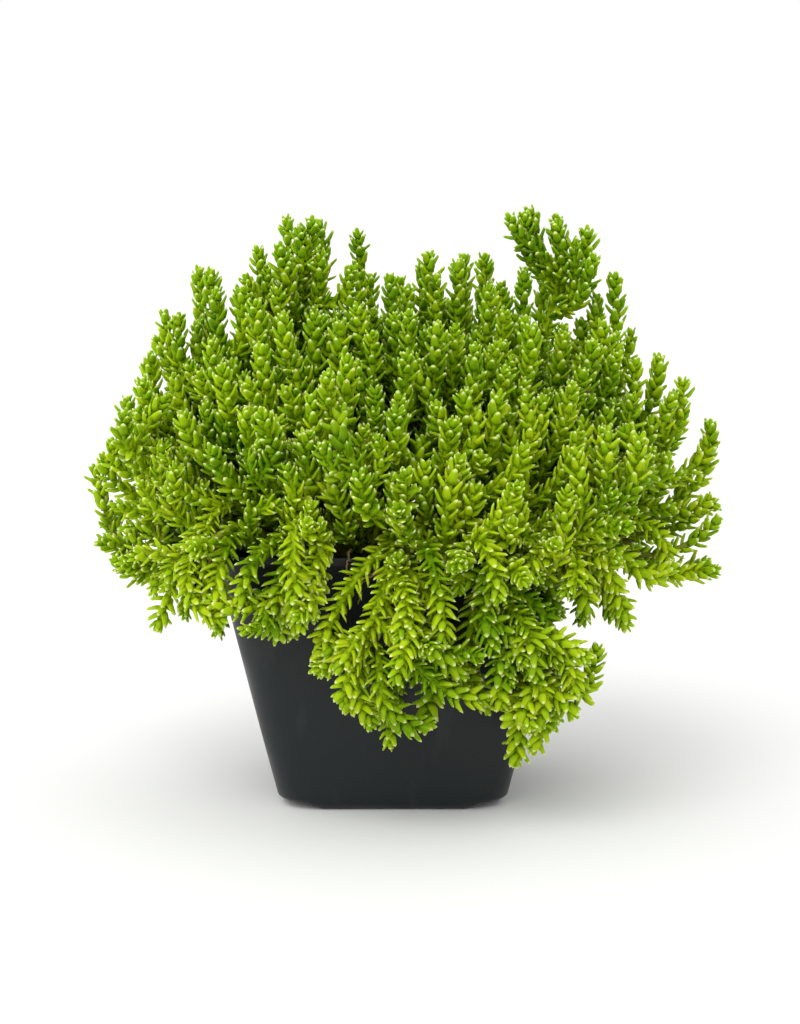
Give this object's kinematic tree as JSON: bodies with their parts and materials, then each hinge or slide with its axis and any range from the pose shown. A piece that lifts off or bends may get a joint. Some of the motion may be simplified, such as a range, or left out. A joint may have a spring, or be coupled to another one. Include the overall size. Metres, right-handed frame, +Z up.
{
  "type": "potted sedum",
  "caption": "Low mounded sedum with crowded leafy stems, some trailing over the rim, growing in a square tapered nursery pot.",
  "frame": {"origin": "centre of the pot's underside, on the surface it stands on", "axes": "+Z up along the pot's axis, +X to the right and -Y towards the viewer of the picture, square to the pot's sides"},
  "size_m": [0.197, 0.1637, 0.177],
  "materials": {
    "black_plastic": "satin moulded black plastic, faintly scuffed",
    "potting_mix": "dark damp potting mix with bark crumbs",
    "sedum_leaf": "fleshy lime-green leaves with pale tips, slightly waxy"
  },
  "bodies": {
    "root": {"pot": "black_plastic", "soil": "potting_mix", "spray_branched_top": "sedum_leaf", "spray_crest": "sedum_leaf", "spray_crown_01": "sedum_leaf", "spray_crown_02": "sedum_leaf", "spray_crown_03": "sedum_leaf", "spray_crown_04": "sedum_leaf", "spray_crown_05": "sedum_leaf", "spray_crown_06": "sedum_leaf", "spray_crown_07": "sedum_leaf", "spray_crown_08": "sedum_leaf", "spray_crown_09": "sedum_leaf", "spray_crown_10": "sedum_leaf", "spray_crown_11": "sedum_leaf", "spray_crown_12": "sedum_leaf", "spray_crown_13": "sedum_leaf", "spray_crown_14": "sedum_leaf", "spray_crown_15": "sedum_leaf", "spray_crown_16": "sedum_leaf", "spray_crown_17": "sedum_leaf", "spray_crown_18": "sedum_leaf", "spray_crown_19": "sedum_leaf", "spray_crown_20": "sedum_leaf", "spray_crown_21": "sedum_leaf", "spray_crown_22": "sedum_leaf", "spray_crown_23": "sedum_leaf", "spray_crown_24": "sedum_leaf", "spray_crown_25": "sedum_leaf", "spray_crown_26": "sedum_leaf", "spray_crown_27": "sedum_leaf", "spray_crown_28": "sedum_leaf", "spray_front_left": "sedum_leaf", "spray_left_front": "sedum_leaf", "spray_left_low": "sedum_leaf", "spray_right_front": "sedum_leaf", "spray_right_low": "sedum_leaf", "spray_right_rim": "sedum_leaf", "spray_trailing_left": "sedum_leaf", "spray_trailing_right": "sedum_leaf"}
  },
  "joints": []
}
